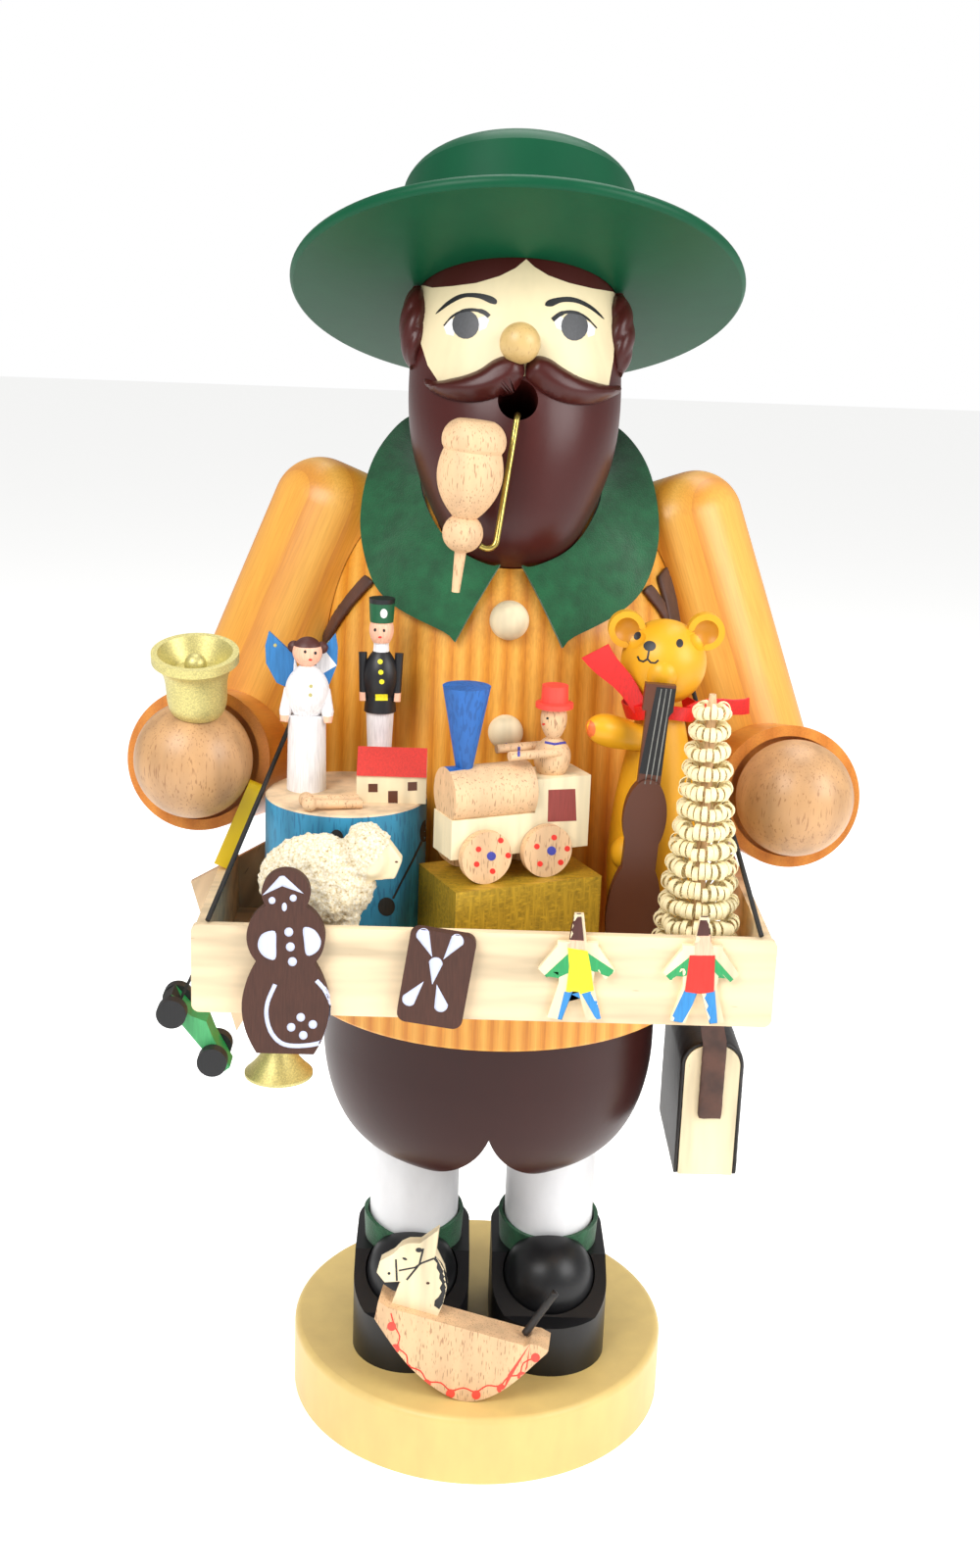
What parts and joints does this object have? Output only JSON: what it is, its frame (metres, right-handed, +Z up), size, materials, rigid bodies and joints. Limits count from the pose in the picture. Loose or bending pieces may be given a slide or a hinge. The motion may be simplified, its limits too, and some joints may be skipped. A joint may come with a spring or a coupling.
{
  "type": "incense smoker figure",
  "caption": "Turned wooden pedlar smoker with hat, beard, pipe and a vendor's tray of toys; the upper half lifts off an incense cone plate.",
  "frame": {"origin": "centre of the base disc's underside", "axes": "+Z up, the figure faces -Y, +X is the viewer's right"},
  "size_m": [0.2472, 0.2156, 0.4871],
  "materials": {
    "gilt_beech": "pale gold satin lacquer on turned beech",
    "black_lacquer": "black satin lacquer on milled wood",
    "white_lacquer": "white satin lacquer on a turned dowel",
    "green_felt": "dark green wool felt",
    "brown_lacquer": "dark brown satin lacquer",
    "tin": "dull tin plate",
    "incense": "pressed charcoal incense",
    "honey_pine": "honey-yellow stained pine, vertical grain",
    "natural_beech": "clear matt beech",
    "face_lacquer": "clear satin on pale wood, painted features",
    "beard_brown": "reddish brown satin paint",
    "hat_green": "dark green satin lacquer",
    "cuff_orange": "orange stained wood",
    "gold_paint": "pale gold paint",
    "tray_wood": "bare pale basswood board",
    "drum_blue": "blue paint with pale top",
    "toy_paint": "small painted turned figures",
    "roof_red": "red painted roof, pale walls",
    "cream_fleece": "cream flocking on a sawn body",
    "gingerbread_brown": "matt dark brown paint with icing lines",
    "engine_wood": "clear matt wood with painted parts",
    "bear_yellow": "yellow satin paint",
    "scarf_red": "red painted ribbon",
    "violin_brown": "dark brown varnish",
    "curled_wood": "bare shaved wood",
    "kite_wood": "pale board",
    "racer_green": "green paint with black wheels",
    "skittle_yellow": "yellow lacquer",
    "black_leather": "black leather",
    "brown_leather": "dark brown leather strap",
    "satchel_wood": "bare pale wood",
    "brass_wire": "drawn brass",
    "black_cord": "black waxed cord"
  },
  "bodies": {
    "root": {"base_disc": "gilt_beech", "left_shoe": "black_lacquer", "right_shoe": "black_lacquer", "stockings": "white_lacquer", "left_ankle_felt": "green_felt", "right_ankle_felt": "green_felt", "trousers": "brown_lacquer", "incense_plate": "tin", "rocker": "tray_wood", "horse_head": "face_lacquer", "horse_tail": "black_leather"},
    "cone": {"incense_cone": "incense"},
    "pipe": {"pipe_bowl": "natural_beech", "pipe_wire": "brass_wire"},
    "satchel_set": {"satchel_hanger": "black_leather", "satchel": "satchel_wood", "satchel_wrap": "black_leather"},
    "trumpet_toy": {"trumpet": "gold_paint"},
    "car_toy": {"race_car": "racer_green"},
    "upper_half": {"jacket": "honey_pine", "neck_tube": "natural_beech", "head": "face_lacquer", "nose": "face_lacquer", "moustache": "beard_brown", "hair_locks": "beard_brown", "hat": "hat_green", "felt_collar": "green_felt", "coat_buttons": "natural_beech", "left_upper_arm": "honey_pine", "right_upper_arm": "honey_pine", "left_sleeve": "cuff_orange", "right_sleeve": "cuff_orange", "left_hand": "natural_beech", "right_hand": "natural_beech", "bell": "gold_paint", "tray_front": "tray_wood", "tray_ends": "tray_wood", "tray_floor": "tray_wood", "drum": "drum_blue", "drumsticks": "natural_beech", "angel": "toy_paint", "miner": "toy_paint", "toy_house": "roof_red", "sheep": "cream_fleece", "golden_crate": "gold_paint", "locomotive": "engine_wood", "loco_wheels": "black_lacquer", "engine_driver": "toy_paint", "teddy_body": "bear_yellow", "teddy_head": "bear_yellow", "teddy_scarf": "scarf_red", "violin": "violin_brown", "curl_tree": "curled_wood", "gingerbread": "gingerbread_brown", "flat_dolls": "toy_paint", "toy_kite": "kite_wood", "skittle": "skittle_yellow", "braces": "brown_leather", "satchel_strap": "black_leather", "tray_cords": "black_cord"}
  },
  "joints": [
    {"name": "lift_off", "type": "slide", "parent": "root", "child": "upper_half", "axis": [0, 0, 1], "range_m": [0, 0.045]},
    {"name": "cone_lift", "type": "slide", "parent": "root", "child": "cone", "axis": [0, 0, 1], "range_m": [0, 0.03]},
    {"name": "pipe_swing", "type": "hinge", "parent": "upper_half", "child": "pipe", "pos_m": [0, -0.06865, 0.39741], "axis": [0, -0.9026, 0.4305], "range_deg": [-8, 8]},
    {"name": "satchel_swing", "type": "hinge", "parent": "upper_half", "child": "satchel_set", "pos_m": [0.0649, -0.03597, 0.2512], "axis": [1, 0, 0], "range_deg": [-10, 10]},
    {"name": "trumpet_swing", "type": "hinge", "parent": "upper_half", "child": "trumpet_toy", "pos_m": [-0.072, -0.108, 0.216], "axis": [0, 1, 0], "range_deg": [-8, 8]},
    {"name": "car_swing", "type": "hinge", "parent": "upper_half", "child": "car_toy", "pos_m": [-0.09585, -0.118, 0.228], "axis": [0, 1, 0], "range_deg": [0, 12]}
  ]
}
